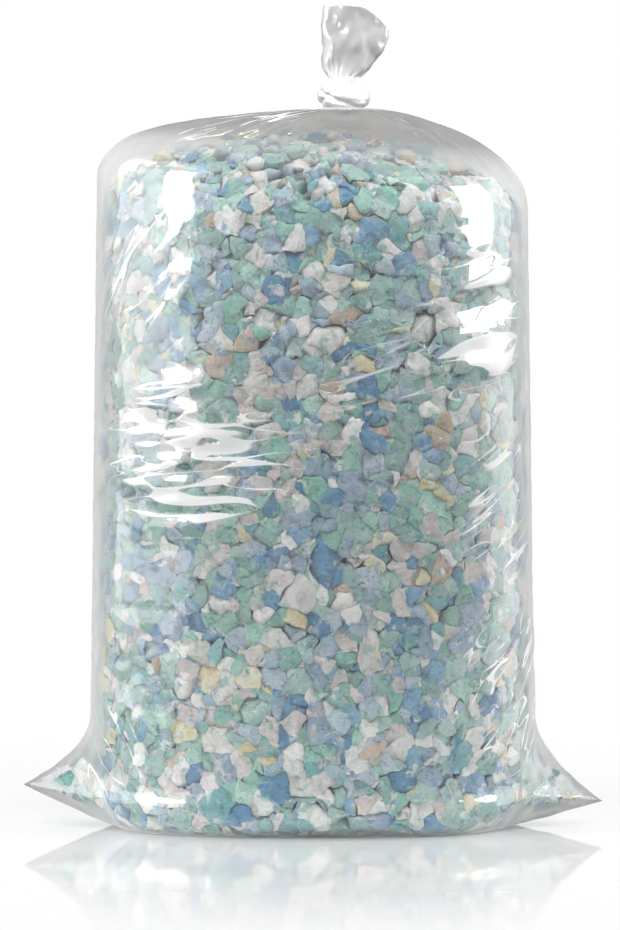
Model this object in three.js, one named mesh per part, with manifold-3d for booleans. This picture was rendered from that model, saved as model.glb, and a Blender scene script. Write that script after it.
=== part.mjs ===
// A clear polythene bag of shredded memory foam, standing on its base.
// The bag is one tube of film: sealed along the bottom, so that the ends of the seal stick out as two ears,
// gathered in pleats at the top, tied in a knot of its own film and left open in a flared tail.
// Inside lies the packed foam crumb, with loose crumbs on top of the heap.
// Millimetres, +Z up, X across the front, +Y to the back, origin under the middle of the base.

import * as THREE from "three";
import { mergeVertices } from "three/addons/utils/BufferGeometryUtils.js";
import Module from "manifold-3d";

// Film tube, filled
const FILM_THICKNESS = 0.8;
const BODY_HALF_WIDTH = 186;
const BODY_HALF_DEPTH = 140;
const SHOULDER_HALF_WIDTH = 180;
const FOOT_HALF_WIDTH = 156;
const FOOT_HALF_DEPTH = 108;
const SHOULDER_HEIGHT = 530;
const SHOULDER_TILT = 13;
const DOME_RISE = 72;

// Ears at the two ends of the bottom seal
const EAR_TIP_REACH = 57;
const EAR_TIP_HEIGHT = 27;
const EAR_TOP_HEIGHT = 92;
const EAR_TILT = 7;
const EAR_HALF_ANGLE = THREE.MathUtils.degToRad(22);

// Pleats, gathered neck and knot
const PLEATS = 20;
const PLEAT_DEPTH = 6;
const NECK_PLEAT_DEPTH = 2;
const NECK_RADIUS = 14;
const NECK_LUMEN_RADIUS = 3;
const NECK_OFFSET = 26;
const KNOT_HEIGHT = 24;
const KNOT_HALF_WIDTH = 23;
const KNOT_HALF_HEIGHT = 15;
const KNOT_SINK = 4;
const KNOT_TILT = THREE.MathUtils.degToRad(8);

// Tail above the knot
const TAIL_LENGTH = 60;
const TAIL_HALF_WIDTH = 27;
const TAIL_HALF_DEPTH = 11;
const TAIL_LEAN = 11;
const MOUTH_SLANT = 20;

// Foam crumb
const SEAT_CLEARANCE = 0.3;
const FILL_SIDE_GAP = 2.4;
const FILL_EAR_SHARE = 0.8;
const HEADSPACE_LEFT = 30;
const HEADSPACE_RIGHT = 14;
const CRUMB_STEP = 20;
const CRUMB_RELIEF = 3.5;
const LOOSE_CRUMBS = 30;

// Shares that shape the curves
const SHOULDER_FULLNESS = 0.6;
const DOME_FULLNESS = 0.9;
const DOME_SPREAD = 0.6;
const FOOT_SQUARENESS = 2.8;
const BODY_SQUARENESS = 2.1;
const LOOSE_SPREAD = 0.76;

const COLOURS = {
  film: "#dde3e2",
  foam: "#cbd6dd",
  crumbs: ["#eef0ef", "#bfe0d6", "#7ba3cf", "#c6cfe2", "#f1ecc9", "#dcc0a6", "#a5d3cc"],
};

const TURN = 2 * Math.PI;
const GOLDEN_ANGLE = Math.PI * (3 - Math.sqrt(5));
const FILM_POINTS = 2 * PLEATS;
const NECK_HEIGHT = SHOULDER_HEIGHT + DOME_RISE;
const KNOT_TOP = NECK_HEIGHT + KNOT_HEIGHT;
const FILL_FLOOR = FILM_THICKNESS + SEAT_CLEARANCE;
const HEADSPACE = (HEADSPACE_LEFT + HEADSPACE_RIGHT) / 2;

const wasm = await Module();
wasm.setup();

// A repeatable stream of numbers from 0 to 1, for the irregular form of the crumb.
function randomStream(seed) {
  let state = seed;
  return () => {
    state = (state + 0x6d2b79f5) | 0;
    let mixed = Math.imul(state ^ (state >>> 15), 1 | state);
    mixed = (mixed + Math.imul(mixed ^ (mixed >>> 7), 61 | mixed)) ^ mixed;
    return ((mixed ^ (mixed >>> 14)) >>> 0) / 2 ** 32;
  };
}

// Points along the curves of a path, each curve cut into its own number of steps.
function pointsAlong(path, steps) {
  const points = path.curves.flatMap((curve, k) => curve.getPoints(steps[k]).slice(0, -1));
  return [...points, path.curves.at(-1).getPoint(1)];
}

// A closed skin through sections that all have the same number of points, with a fan over each end.
function loft(sections) {
  const around = sections[0].length;
  const rings = sections.length;
  const middle = (section) =>
    section.reduce((sum, point) => sum.add(point), new THREE.Vector3()).divideScalar(around);
  const vertices = [...sections.flat(), middle(sections[0]), middle(sections.at(-1))];
  const index = [];
  for (let i = 0; i < around; i += 1) {
    const next = (i + 1) % around;
    for (let k = 0; k + 1 < rings; k += 1) {
      const low = k * around;
      const high = low + around;
      index.push(low + i, low + next, high + next, low + i, high + next, high + i);
    }
    const last = (rings - 1) * around;
    index.push(rings * around, next, i, rings * around + 1, last + i, last + next);
  }
  return new THREE.BufferGeometry().setFromPoints(vertices).setIndex(index);
}

// The same sections moved into the material, square to the lofted skin, by a depth for each point.
function inset(sections, depthAt) {
  const geometry = loft(sections);
  geometry.computeVertexNormals();
  const normals = geometry.getAttribute("normal");
  const around = sections[0].length;
  return sections.map((section, k) =>
    section.map((point, i) => {
      const normal = new THREE.Vector3().fromBufferAttribute(normals, k * around + i);
      return point.clone().addScaledVector(normal, -depthAt(k, i));
    }),
  );
}

function bare(geometry) {
  const positions = new THREE.BufferGeometry();
  positions.setAttribute("position", geometry.getAttribute("position").clone());
  return mergeVertices(positions.setIndex(geometry.index));
}

function toSolid(geometry) {
  const merged = bare(geometry);
  return new wasm.Manifold(
    new wasm.Mesh({
      numProp: 3,
      vertProperties: new Float32Array(merged.getAttribute("position").array),
      triVerts: new Uint32Array(merged.index.array),
    }),
  );
}

function toGeometry(solid) {
  const mesh = solid.getMesh();
  const geometry = new THREE.BufferGeometry();
  geometry.setAttribute("position", new THREE.BufferAttribute(mesh.vertProperties, mesh.numProp));
  geometry.setIndex(new THREE.BufferAttribute(mesh.triVerts, 1));
  geometry.computeVertexNormals();
  return geometry;
}

function named(name, geometry, colour, finish) {
  const material = new THREE.MeshStandardMaterial({ color: colour, metalness: 0, ...finish });
  const mesh = new THREE.Mesh(geometry, material);
  mesh.name = name;
  return mesh;
}

// How far an ear has grown at a height: nothing on the floor, all at the tip, nothing again above.
function earShare(height) {
  if (height >= EAR_TOP_HEIGHT) return 0;
  if (height <= EAR_TIP_HEIGHT) return (Math.max(height, 0) / EAR_TIP_HEIGHT) ** 0.9;
  return ((EAR_TOP_HEIGHT - height) / (EAR_TOP_HEIGHT - EAR_TIP_HEIGHT)) ** 1.8;
}

// How much of an ear shows in a direction: all of it along the seal, none away from its ends.
function earPeak(angle) {
  const offSeal = Math.abs(Math.atan2(Math.sin(2 * angle), Math.cos(2 * angle))) / 2;
  return Math.max(0, 1 - offSeal / EAR_HALF_ANGLE) ** 1.5;
}

// Rounded section of the filled tube at a height, squarer at the foot, with the ears drawn out along X.
function tubeSection({ halfWidth, halfDepth, height, floor = 0, earReach = 0, around = FILM_POINTS }) {
  const raised = THREE.MathUtils.smoothstep(height, 0, 1.5 * EAR_TIP_HEIGHT);
  const power = 2 / THREE.MathUtils.lerp(FOOT_SQUARENESS, BODY_SQUARENESS, raised);
  const eased = (value) => Math.sign(value) * Math.abs(value) ** power;
  return Array.from({ length: around }, (_, i) => {
    const angle = (TURN * i) / around;
    const ear = earShare(height - floor) * earPeak(angle);
    const x = halfWidth * eased(Math.cos(angle)) + earReach * ear * Math.cos(angle);
    const y = halfDepth * eased(Math.sin(angle));
    return new THREE.Vector3(x, y, height - EAR_TILT * ear * Math.cos(angle));
  });
}

// The bag leans towards its right shoulder: the top of a section is lifted left and lowered right.
function tilted(section, drop) {
  return section.map((point) => {
    const share = THREE.MathUtils.smoothstep(point.z, 0.5 * SHOULDER_HEIGHT, SHOULDER_HEIGHT);
    return point.setZ(point.z - (drop * share * point.x) / BODY_HALF_WIDTH);
  });
}

// Half of an outline of the filled tube: the edge of the foot, the side, the shoulder and the dome.
function outline({ foot, body, shoulder, neck, floor, drop }) {
  const path = new THREE.Path().moveTo(foot, floor);
  const side = SHOULDER_HEIGHT - drop;
  path.quadraticCurveTo((foot + body) / 2, floor, body, EAR_TIP_HEIGHT + floor);
  path.lineTo(body, EAR_TOP_HEIGHT);
  path.lineTo(shoulder, side);
  const turn = side + SHOULDER_FULLNESS * DOME_RISE;
  const crown = side + DOME_FULLNESS * DOME_RISE;
  path.bezierCurveTo(shoulder, turn, DOME_SPREAD * shoulder, crown, neck, side + DOME_RISE);
  return path;
}

// Film from the floor to the neck, moved over to the neck as it is drawn in.
function bodySections() {
  const steps = [3, 4, 4, 9];
  const heights = { floor: 0, drop: 0, neck: NECK_RADIUS };
  const front = { ...heights, foot: FOOT_HALF_WIDTH, body: BODY_HALF_WIDTH, shoulder: SHOULDER_HALF_WIDTH };
  const side = { ...heights, foot: FOOT_HALF_DEPTH, body: BODY_HALF_DEPTH, shoulder: BODY_HALF_DEPTH };
  const widths = pointsAlong(outline(front), steps);
  const depths = pointsAlong(outline(side), steps);
  return widths.map(({ x: halfWidth, y: height }, k) => {
    const halfDepth = depths[k].x;
    const section = tubeSection({ halfWidth, halfDepth, height, earReach: EAR_TIP_REACH });
    const over = NECK_OFFSET * gathered(halfDepth, height);
    const share = THREE.MathUtils.smoothstep(halfDepth, NECK_RADIUS, BODY_HALF_DEPTH);
    return tilted(section, SHOULDER_TILT * share).map((point) => point.setX(point.x + over));
  });
}

// How far the film is drawn in at a level: nothing up to the shoulder, all at the neck.
function gathered(halfDepth, height) {
  return height > SHOULDER_HEIGHT ? (BODY_HALF_DEPTH - halfDepth) / (BODY_HALF_DEPTH - NECK_RADIUS) : 0;
}

// Film above the knot: the flattened tail, leaning over, up to its mouth, which falls away to the right.
function tailSections() {
  const mouth = KNOT_TOP + TAIL_LENGTH;
  const flare = (half) => {
    const path = new THREE.Path().moveTo(NECK_RADIUS, KNOT_TOP);
    path.quadraticCurveTo(half, KNOT_TOP + 0.25 * TAIL_LENGTH, half, mouth);
    return pointsAlong(path, [5]);
  };
  const depths = flare(TAIL_HALF_DEPTH);
  return flare(TAIL_HALF_WIDTH).map(({ x: halfWidth, y: height }, k) => {
    const along = (height - KNOT_TOP) / TAIL_LENGTH;
    return tubeSection({ halfWidth, halfDepth: depths[k].x, height }).map((point) => {
      const drop = along * MOUTH_SLANT * Math.max(0, (point.x / TAIL_HALF_WIDTH + 0.2) / 1.2) ** 2;
      return point.add(new THREE.Vector3(NECK_OFFSET + TAIL_LEAN * along, 0, -drop));
    });
  });
}

// Each second point of a gathered section is drawn in, deepest between the shoulder and the neck.
// The pleats of the tail run out towards its mouth.
function pleated(sections) {
  const extent = (section) => Math.max(...section.map((point) => point.y));
  return inset(sections, (k, i) => {
    if (i % 2 === 0) return 0;
    const height = sections[k][0].z;
    if (height > NECK_HEIGHT) {
      return NECK_PLEAT_DEPTH * THREE.MathUtils.clamp((KNOT_TOP + TAIL_LENGTH - height) / TAIL_LENGTH, 0, 1);
    }
    const drawn = gathered(Math.max(extent(sections[k]), NECK_RADIUS), height);
    return NECK_PLEAT_DEPTH * drawn + 4 * PLEAT_DEPTH * drawn * (1 - drawn);
  });
}

// The bunched film in the neck is a rope with a narrow passage, which the inner wall follows.
function lumenSection(height) {
  const section = tubeSection({ halfWidth: NECK_LUMEN_RADIUS, halfDepth: NECK_LUMEN_RADIUS, height });
  return section.map((point) => point.setX(point.x + NECK_OFFSET));
}

// The knot: film wrapped round the neck and drawn tight into a bulb, with the neck's passage through it.
function knotBulb() {
  const bulb = wasm.Manifold.sphere(1, 28).scale([KNOT_HALF_WIDTH, KNOT_HALF_WIDTH, KNOT_HALF_HEIGHT]);
  const passage = wasm.Manifold.cylinder(
    4 * KNOT_HALF_HEIGHT,
    2 * NECK_LUMEN_RADIUS,
    2 * NECK_LUMEN_RADIUS,
    16,
    true,
  );
  const leaning = bulb.rotate([0, THREE.MathUtils.radToDeg(KNOT_TILT), 0]);
  return leaning.subtract(passage).translate([NECK_OFFSET, 0, NECK_HEIGHT + KNOT_HEIGHT / 2 - KNOT_SINK]);
}

function bagFilm() {
  const body = bodySections();
  const outer = pleated([...body, ...tailSections()]);
  const inner = inset(outer, () => FILM_THICKNESS);
  inner[body.length - 1] = lumenSection(NECK_HEIGHT);
  inner[body.length] = lumenSection(KNOT_TOP);
  return toSolid(loft([...outer, ...inner.reverse()])).add(knotBulb());
}

// Packed crumb, before its surface is broken up: it stands on the film and fills the bag to the heap.
function fillSections() {
  const rows = Math.round(SHOULDER_HEIGHT / CRUMB_STEP);
  const around = Math.round((TURN * (BODY_HALF_WIDTH + BODY_HALF_DEPTH)) / 2 / CRUMB_STEP);
  const heapRows = Math.round(BODY_HALF_WIDTH / CRUMB_STEP);
  const steps = [2, 4, rows - 6, heapRows];
  const heights = { floor: FILL_FLOOR, drop: HEADSPACE, neck: 2 };
  const shape = (foot, body, shoulder) =>
    pointsAlong(
      outline({
        ...heights,
        foot: foot - FILL_SIDE_GAP,
        body: body - FILL_SIDE_GAP,
        shoulder: shoulder - FILL_SIDE_GAP,
      }),
      steps,
    );
  const depths = shape(FOOT_HALF_DEPTH, BODY_HALF_DEPTH, BODY_HALF_DEPTH);
  const level = SHOULDER_TILT - (HEADSPACE_LEFT - HEADSPACE_RIGHT) / 2;
  const earReach = FILL_EAR_SHARE * EAR_TIP_REACH;
  return shape(FOOT_HALF_WIDTH, BODY_HALF_WIDTH, SHOULDER_HALF_WIDTH).map(({ x: halfWidth, y: height }, k) =>
    tilted(tubeSection({ ...heights, halfWidth, halfDepth: depths[k].x, height, earReach, around }), level),
  );
}

// Breaks the skin of the fill into facets of the crumb's size, sunk by as much as the relief.
function roughened(sections) {
  const random = randomStream(11);
  const last = sections.length - 1;
  const shifted = sections.map((section, k) =>
    section.map((point, i) => {
      const beside = section[(i + 1) % section.length];
      const above = sections[Math.min(k + 1, last)][i];
      const slide = k === 0 ? 0 : 0.45;
      return point.clone().lerp(beside, slide * random()).lerp(above, slide * random());
    }),
  );
  return inset(shifted, (k, i) => {
    const spacing = shifted[k][i].distanceTo(shifted[k][(i + 1) % shifted[k].length]);
    return k === 0 ? 0 : CRUMB_RELIEF * Math.min(1, spacing / CRUMB_STEP) * random();
  });
}

// One torn crumb: a lump with its corners drawn in unevenly, turned at random.
function crumbShape(length, random) {
  const crumb = bare(new THREE.IcosahedronGeometry(length / 2, 0));
  const corners = crumb.getAttribute("position");
  for (let i = 0; i < corners.count; i += 1) {
    const corner = new THREE.Vector3().fromBufferAttribute(corners, i);
    corner.multiplyScalar(0.7 + 0.3 * random());
    corners.setXYZ(i, corner.x, corner.y, corner.z);
  }
  crumb.scale(1, 0.75 + 0.2 * random(), 0.6 + 0.15 * random());
  crumb.rotateZ(TURN * random());
  crumb.rotateX(0.7 * (random() - 0.5));
  return crumb;
}

// Loose crumbs spread evenly over the heap, each sunk into it so that only its top stands proud.
function looseCrumbs(heap) {
  const random = randomStream(5);
  const pitch = (LOOSE_SPREAD * BODY_HALF_DEPTH) / Math.sqrt(LOOSE_CRUMBS);
  const stretch = BODY_HALF_WIDTH / BODY_HALF_DEPTH;
  const probe = new THREE.Raycaster();
  const surface = new THREE.Mesh(toGeometry(heap));
  return Array.from({ length: LOOSE_CRUMBS }, (_, n) => {
    const reach = pitch * Math.sqrt(n + 0.5);
    const x = stretch * reach * Math.cos(n * GOLDEN_ANGLE);
    const y = reach * Math.sin(n * GOLDEN_ANGLE);
    probe.set(new THREE.Vector3(x, y, 2 * NECK_HEIGHT), new THREE.Vector3(0, 0, -1));
    const ground = probe.intersectObject(surface)[0].point.z;
    const crumb = crumbShape(pitch * (1.05 + 0.35 * random()), random);
    crumb.computeBoundingBox();
    crumb.translate(x, y, ground + HEADSPACE_RIGHT / 2 - crumb.boundingBox.max.z);
    return toSolid(crumb);
  });
}

// The hollow that a crumb lies in, clear of it by the seat clearance.
function seatOf(crumb) {
  const { min, max } = crumb.boundingBox();
  const middle = min.map((low, axis) => (low + max[axis]) / 2);
  const growth = 1 + (6 * SEAT_CLEARANCE) / (max[2] - min[2]);
  const back = middle.map((value) => -value);
  return crumb.translate(back).scale(growth).translate(middle);
}

function largest(solid) {
  return solid.decompose().sort((a, b) => b.volume() - a.volume())[0];
}

const heap = toSolid(loft(roughened(fillSections())));
const loose = looseCrumbs(heap);
const fill = largest(wasm.Manifold.difference([heap, ...loose.map(seatOf)]));

const bag = new THREE.Group();
const clear = { roughness: 0.15, transparent: true, opacity: 0.3 };
bag.add(named("bag_film", toGeometry(bagFilm()), COLOURS.film, clear));
bag.add(named("foam_fill", toGeometry(fill), COLOURS.foam, { roughness: 0.95 }));
loose.forEach((crumb, n) => {
  const name = `foam_crumb_${String(n + 1).padStart(2, "0")}`;
  const colour = COLOURS.crumbs[n % COLOURS.crumbs.length];
  bag.add(named(name, toGeometry(crumb), colour, { roughness: 0.95 }));
});

export default bag;
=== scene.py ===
"""A clear polythene bag of shredded memory foam, standing on a white floor.

The bag is one sheet of film, lofted through oval levels and then wrinkled. The foam is packed crumb by crumb:
each crumb is a lump of foam cut by the crumbs around it, and the outer ones are torn and rounded.
Metres, +Z up, X across the front, -Y towards the camera, origin under the middle of the base.
"""

import logging
import math
import random
from collections.abc import Sequence
from dataclasses import dataclass, field

import bmesh
import bpy
from mathutils import Matrix, Vector, noise
from mathutils.bvhtree import BVHTree
from mathutils.interpolate import poly_3d_calc
from mathutils.kdtree import KDTree

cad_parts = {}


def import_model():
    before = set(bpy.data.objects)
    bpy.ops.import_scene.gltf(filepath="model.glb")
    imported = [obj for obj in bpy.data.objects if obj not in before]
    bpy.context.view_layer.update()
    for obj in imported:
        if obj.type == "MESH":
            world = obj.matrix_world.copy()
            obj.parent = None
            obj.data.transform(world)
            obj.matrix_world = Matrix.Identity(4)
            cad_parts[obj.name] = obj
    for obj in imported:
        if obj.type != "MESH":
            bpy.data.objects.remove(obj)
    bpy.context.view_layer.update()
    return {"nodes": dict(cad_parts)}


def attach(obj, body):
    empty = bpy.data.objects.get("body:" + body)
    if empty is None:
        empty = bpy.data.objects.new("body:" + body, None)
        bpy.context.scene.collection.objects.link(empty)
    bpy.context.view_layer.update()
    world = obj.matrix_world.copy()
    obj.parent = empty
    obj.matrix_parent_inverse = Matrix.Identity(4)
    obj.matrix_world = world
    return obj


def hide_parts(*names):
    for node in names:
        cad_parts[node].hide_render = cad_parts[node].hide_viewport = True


LOG = logging.getLogger("scene")
MM = 0.001
ALL_AXES = {"use_axis_x": True, "use_axis_y": True, "use_axis_z": True}


def smoothstep(value: float, low: float, high: float) -> float:
    """Eases from 0 to 1 between two values.

    Args:
        value: The number to ease.
        low: Where the result is still 0.
        high: Where the result reaches 1.

    Returns:
        A number from 0 to 1.
    """
    share = min(1.0, max(0.0, (value - low) / (high - low)))
    return share * share * (3.0 - 2.0 * share)


def mix(first: float, second: float, share: float) -> float:
    """Mixes two numbers.

    Args:
        first: The result at share 0.
        second: The result at share 1.
        share: How much of the second.

    Returns:
        The mixed number.
    """
    return first + (second - first) * share


@dataclass(frozen=True)
class Level:
    """One level of the bag: the half sizes of its oval, its height and how the film is held there."""

    half_width: float
    half_depth: float
    height: float
    gathered: float = 0.0
    tail: float = 0.0
    neck: float = 0.0


@dataclass(frozen=True)
class BagSize:
    """Sizes of the filled bag, as in the solids."""

    body_half_width: float = 186 * MM
    body_half_depth: float = 140 * MM
    shoulder_half_width: float = 180 * MM
    foot_half_width: float = 156 * MM
    foot_half_depth: float = 108 * MM
    shoulder_height: float = 530 * MM
    shoulder_tilt: float = 13 * MM
    dome_rise: float = 72 * MM
    ear_tip_reach: float = 57 * MM
    ear_tip_height: float = 27 * MM
    ear_top_height: float = 92 * MM
    ear_tilt: float = 7 * MM
    ear_half_angle: float = math.radians(22)
    neck_radius: float = 14 * MM
    neck_offset: float = 26 * MM
    knot_height: float = 24 * MM
    knot_half_width: float = 23 * MM
    knot_half_height: float = 15 * MM
    knot_sink: float = 4 * MM
    knot_tilt: float = math.radians(8)
    tail_length: float = 60 * MM
    tail_half_width: float = 27 * MM
    tail_half_depth: float = 11 * MM
    tail_lean: float = 11 * MM
    mouth_slant: float = 20 * MM
    foot_squareness: float = 2.8
    body_squareness: float = 2.1
    shoulder_fullness: float = 0.6
    dome_fullness: float = 0.9
    dome_spread: float = 0.6

    @property
    def neck_height(self) -> float:
        """Height at which the film enters the knot."""
        return self.shoulder_height + self.dome_rise

    @property
    def knot_top(self) -> float:
        """Height at which the tail leaves the knot."""
        return self.neck_height + self.knot_height


class BagForm:
    """The smooth form of the filled bag: levels from the middle of the base to the mouth of the tail."""

    def __init__(self, size: BagSize) -> None:
        """Keeps the bag's sizes."""
        self.size = size

    def foot_levels(self, rows: tuple[int, int, int]) -> list[Level]:
        """Levels of the base, its rounded edge and the flanks of the ears.

        Args:
            rows: Number of levels in each of the three.

        Returns:
            The levels, from the middle of the base up to the top of the ears.
        """
        s = self.size
        foot = (s.foot_half_width, s.foot_half_depth)
        body = (s.body_half_width, s.body_half_depth)
        levels = []
        for k in range(rows[0]):
            share = max(k / rows[0], 1e-4)
            levels.append(Level(foot[0] * share, foot[1] * share, 0.0))
        for k in range(rows[1]):
            t = k / rows[1]
            half = [a * (1 - t) ** 2 + (a + b) * t * (1 - t) + b * t * t for a, b in zip(foot, body)]
            levels.append(Level(half[0], half[1], s.ear_tip_height * t * t))
        for k in range(rows[2]):
            levels.append(Level(body[0], body[1], mix(s.ear_tip_height, s.ear_top_height, k / rows[2])))
        return levels

    def side_levels(self, rows: int) -> list[Level]:
        """Levels of the straight side, from the ears to the shoulder.

        Args:
            rows: Number of levels.

        Returns:
            The levels, from the bottom up.
        """
        s = self.size
        levels = []
        for k in range(rows):
            t = k / rows
            half_width = mix(s.body_half_width, s.shoulder_half_width, t)
            height = mix(s.ear_top_height, s.shoulder_height, t)
            levels.append(Level(half_width, s.body_half_depth, height))
        return levels

    def dome_levels(self, rows: int) -> list[Level]:
        """Levels of the shoulder and the dome.

        Args:
            rows: Number of levels.

        Returns:
            The levels, from the shoulder to the neck.
        """
        s = self.size
        side = s.shoulder_height
        turn = side + s.shoulder_fullness * s.dome_rise
        crown = side + s.dome_fullness * s.dome_rise
        levels = []
        for k in range(rows + 1):
            t = k / rows
            weights = ((1 - t) ** 3, 3 * t * (1 - t) ** 2, 3 * t * t * (1 - t), t**3)
            halves = []
            for body in (s.shoulder_half_width, s.body_half_depth):
                points = (body, body, s.dome_spread * body, s.neck_radius)
                halves.append(sum(w * p for w, p in zip(weights, points)))
            height = sum(w * p for w, p in zip(weights, (side, turn, crown, side + s.dome_rise)))
            drawn = (s.body_half_depth - halves[1]) / (s.body_half_depth - s.neck_radius)
            levels.append(Level(halves[0], halves[1], height, gathered=drawn))
        return levels

    def tail_levels(self, rows: tuple[int, int]) -> list[Level]:
        """Levels of the rope of film inside the knot and of the flared tail.

        Args:
            rows: Number of levels in the knot and in the tail.

        Returns:
            The levels, from the neck to the mouth.
        """
        s = self.size
        levels = []
        for k in range(1, rows[0]):
            height = s.neck_height + s.knot_height * k / rows[0]
            levels.append(Level(s.neck_radius, s.neck_radius, height, gathered=1.0, neck=1.0))
        for k in range(rows[1] + 1):
            t = k / rows[1]
            flare = 1 - (1 - t) ** 2
            half_width = mix(s.neck_radius, s.tail_half_width, flare)
            half_depth = mix(s.neck_radius, s.tail_half_depth, flare)
            height = s.knot_top + s.tail_length * (0.5 * t * (1 - t) + t * t)
            levels.append(Level(half_width, half_depth, height, gathered=1.0, tail=t, neck=1.0))
        return levels

    def ear(self, angle: float, height: float) -> float:
        """How far an ear is drawn out in a direction and at a height.

        Args:
            angle: Direction around the bag.
            height: Height above the floor.

        Returns:
            A share from 0 to 1.
        """
        s = self.size
        if height >= s.ear_top_height:
            return 0.0
        off_seal = abs(math.atan2(math.sin(2 * angle), math.cos(2 * angle))) / 2
        peak = max(0.0, 1 - off_seal / s.ear_half_angle) ** 1.5
        if height <= s.ear_tip_height:
            return peak * (max(height, 0.0) / s.ear_tip_height) ** 0.9
        return peak * ((s.ear_top_height - height) / (s.ear_top_height - s.ear_tip_height)) ** 1.8

    def point(self, angle: float, level: Level) -> Vector:
        """A point of the form.

        Args:
            angle: Direction around the bag.
            level: The level that the point is on.

        Returns:
            The point.
        """
        s = self.size
        raised = smoothstep(level.height, 0.0, 1.5 * s.ear_tip_height)
        power = 2 / mix(s.foot_squareness, s.body_squareness, raised)
        cos, sin = math.cos(angle), math.sin(angle)
        ear = self.ear(angle, level.height)
        x = level.half_width * math.copysign(abs(cos) ** power, cos) + s.ear_tip_reach * ear * cos
        y = level.half_depth * math.copysign(abs(sin) ** power, sin)
        z = level.height - s.ear_tilt * ear * cos
        if level.tail or level.neck:
            drop = level.tail * s.mouth_slant * max(0.0, (x / s.tail_half_width + 0.2) / 1.2) ** 2
            return Vector((x + s.neck_offset + s.tail_lean * level.tail, y, z - drop))
        lean = s.shoulder_tilt * smoothstep(level.half_depth, s.neck_radius, s.body_half_depth)
        z -= lean * smoothstep(z, 0.5 * s.shoulder_height, s.shoulder_height) * x / s.body_half_width
        return Vector((x + s.neck_offset * level.gathered, y, z))


def wrapped_grid(levels: list[Level], around: int, form: BagForm) -> bmesh.types.BMesh:
    """Wraps a flat grid round the levels of a form and welds its seam.

    Args:
        levels: The levels, from the first row of the grid to the last.
        around: Number of columns.
        form: The form that gives each point.

    Returns:
        The wrapped mesh. Its float layers "turn" and "row" hold the angle and the level of each point.
    """
    mesh = bmesh.new()
    rows = len(levels) - 1
    bmesh.ops.create_grid(mesh, x_segments=around, y_segments=rows, size=0.5)
    turn = mesh.verts.layers.float.new("turn")
    row = mesh.verts.layers.float.new("row")
    for vert in mesh.verts:
        angle = (vert.co.x + 0.5) * math.tau
        k = round((vert.co.y + 0.5) * rows)
        vert[turn] = angle
        vert[row] = k
        vert.co = form.point(angle, levels[k])
    bmesh.ops.remove_doubles(mesh, verts=mesh.verts, dist=1e-6)
    bmesh.ops.recalc_face_normals(mesh, faces=mesh.faces)
    return mesh


def object_from(mesh: bmesh.types.BMesh, name: str, smooth: bool = True) -> bpy.types.Object:
    """Makes an object of a bmesh and frees the bmesh.

    Args:
        mesh: The bmesh.
        name: Name of the object and its data.
        smooth: Whether its faces are shaded smooth.

    Returns:
        The object, linked to the scene.
    """
    for face in mesh.faces:
        face.smooth = smooth
    data = bpy.data.meshes.new(name)
    mesh.to_mesh(data)
    mesh.free()
    data.validate()
    obj = bpy.data.objects.new(name, data)
    bpy.context.scene.collection.objects.link(obj)
    return obj


@dataclass(frozen=True)
class FoamColour:
    """One colour of foam: its share of the crumb, its tones, dark to light, and how dark the painted shade in
    its tears and pores gets.
    """

    name: str
    slot: str
    share: float
    tones: tuple[tuple[float, float, float], ...]
    pit_shade: float = 0.6


FOAM_COLOURS = (
    FoamColour("white", "crumb_white", 0.14, ((0.7, 0.7, 0.68), (0.8, 0.8, 0.78), (0.9, 0.9, 0.88)), 0.2),
    FoamColour("rose", "crumb_white", 0.11, ((0.54, 0.5, 0.48), (0.65, 0.6, 0.58), (0.75, 0.71, 0.69)), 0.35),
    FoamColour("teal", "crumb_aqua", 0.22, ((0.18, 0.36, 0.32), (0.28, 0.47, 0.43), (0.42, 0.58, 0.54))),
    FoamColour("mint", "crumb_mint", 0.14, ((0.2, 0.46, 0.38), (0.3, 0.57, 0.48), (0.46, 0.69, 0.61))),
    FoamColour("lilac", "crumb_lilac", 0.16, ((0.25, 0.35, 0.48), (0.36, 0.46, 0.58), (0.48, 0.58, 0.68))),
    FoamColour("aqua", "crumb_aqua", 0.07, ((0.1, 0.32, 0.35), (0.17, 0.42, 0.45), (0.3, 0.54, 0.55))),
    FoamColour("blue", "crumb_blue", 0.11, ((0.05, 0.18, 0.36), (0.09, 0.27, 0.47), (0.22, 0.42, 0.6))),
    FoamColour(
        "cream", "crumb_cream", 0.033, ((0.68, 0.56, 0.27), (0.74, 0.68, 0.43), (0.79, 0.76, 0.58)), 0.3
    ),
    FoamColour("tan", "crumb_tan", 0.017, ((0.44, 0.3, 0.2), (0.56, 0.42, 0.31), (0.66, 0.53, 0.43))),
)


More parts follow.
